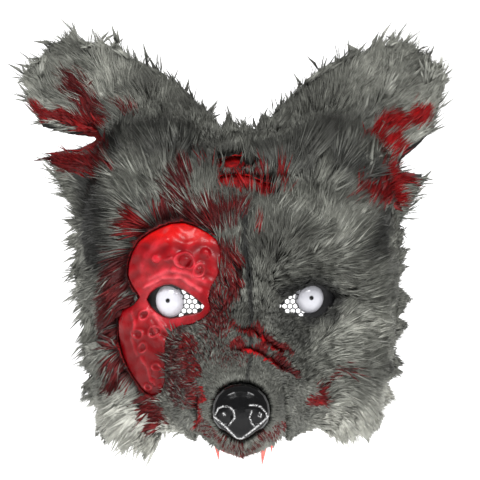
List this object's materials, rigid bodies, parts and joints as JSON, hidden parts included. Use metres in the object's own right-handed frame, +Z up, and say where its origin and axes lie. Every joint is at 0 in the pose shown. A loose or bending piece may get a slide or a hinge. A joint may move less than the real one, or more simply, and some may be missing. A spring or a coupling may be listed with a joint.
{
  "type": "werewolf mask",
  "caption": "Furry wolf half mask with a hollow moulded shell and muzzle, torn ears, a bare wound round one eye, netted eye openings, a glossy nose and fangs.",
  "frame": {"origin": "the mid plane at eye level, in the plane of the shell's rim where it meets the wearer's temples", "axes": "+X the viewer's right, -Y the way the face looks, +Z up"},
  "size_m": [0.2821, 0.1789, 0.2778],
  "materials": {
    "shell": "moulded, matt, painted red along the lip and inside the cuts",
    "wound": "moulded, glossy red and pink",
    "fur": "long-pile grey faux fur, sprayed dark red round the wound",
    "muzzle_fur": "short-pile grey faux fur",
    "ear_fur": "long-pile grey faux fur with dark red patches",
    "ear_lining": "dark felt with a red torn edge",
    "eye_net": "black open net",
    "eyeball": "satin white with a black blind pupil hole",
    "nose": "high gloss black, worn white on the nostril rims and the lower edge",
    "fang": "glossy, stained red"
  },
  "bodies": {
    "root": {"face_shell": "shell", "wound_plate": "wound", "fur_left": "fur", "fur_right": "fur", "fur_muzzle": "muzzle_fur", "ear_left": "ear_fur", "ear_right": "ear_fur", "ear_lining_left": "ear_lining", "ear_lining_right": "ear_lining", "eye_net_left": "eye_net", "eye_net_right": "eye_net", "eyeball_left": "eyeball", "eyeball_right": "eyeball", "nose": "nose", "fang_left": "fang", "fang_right": "fang", "fang_right_small": "fang"}
  },
  "joints": []
}
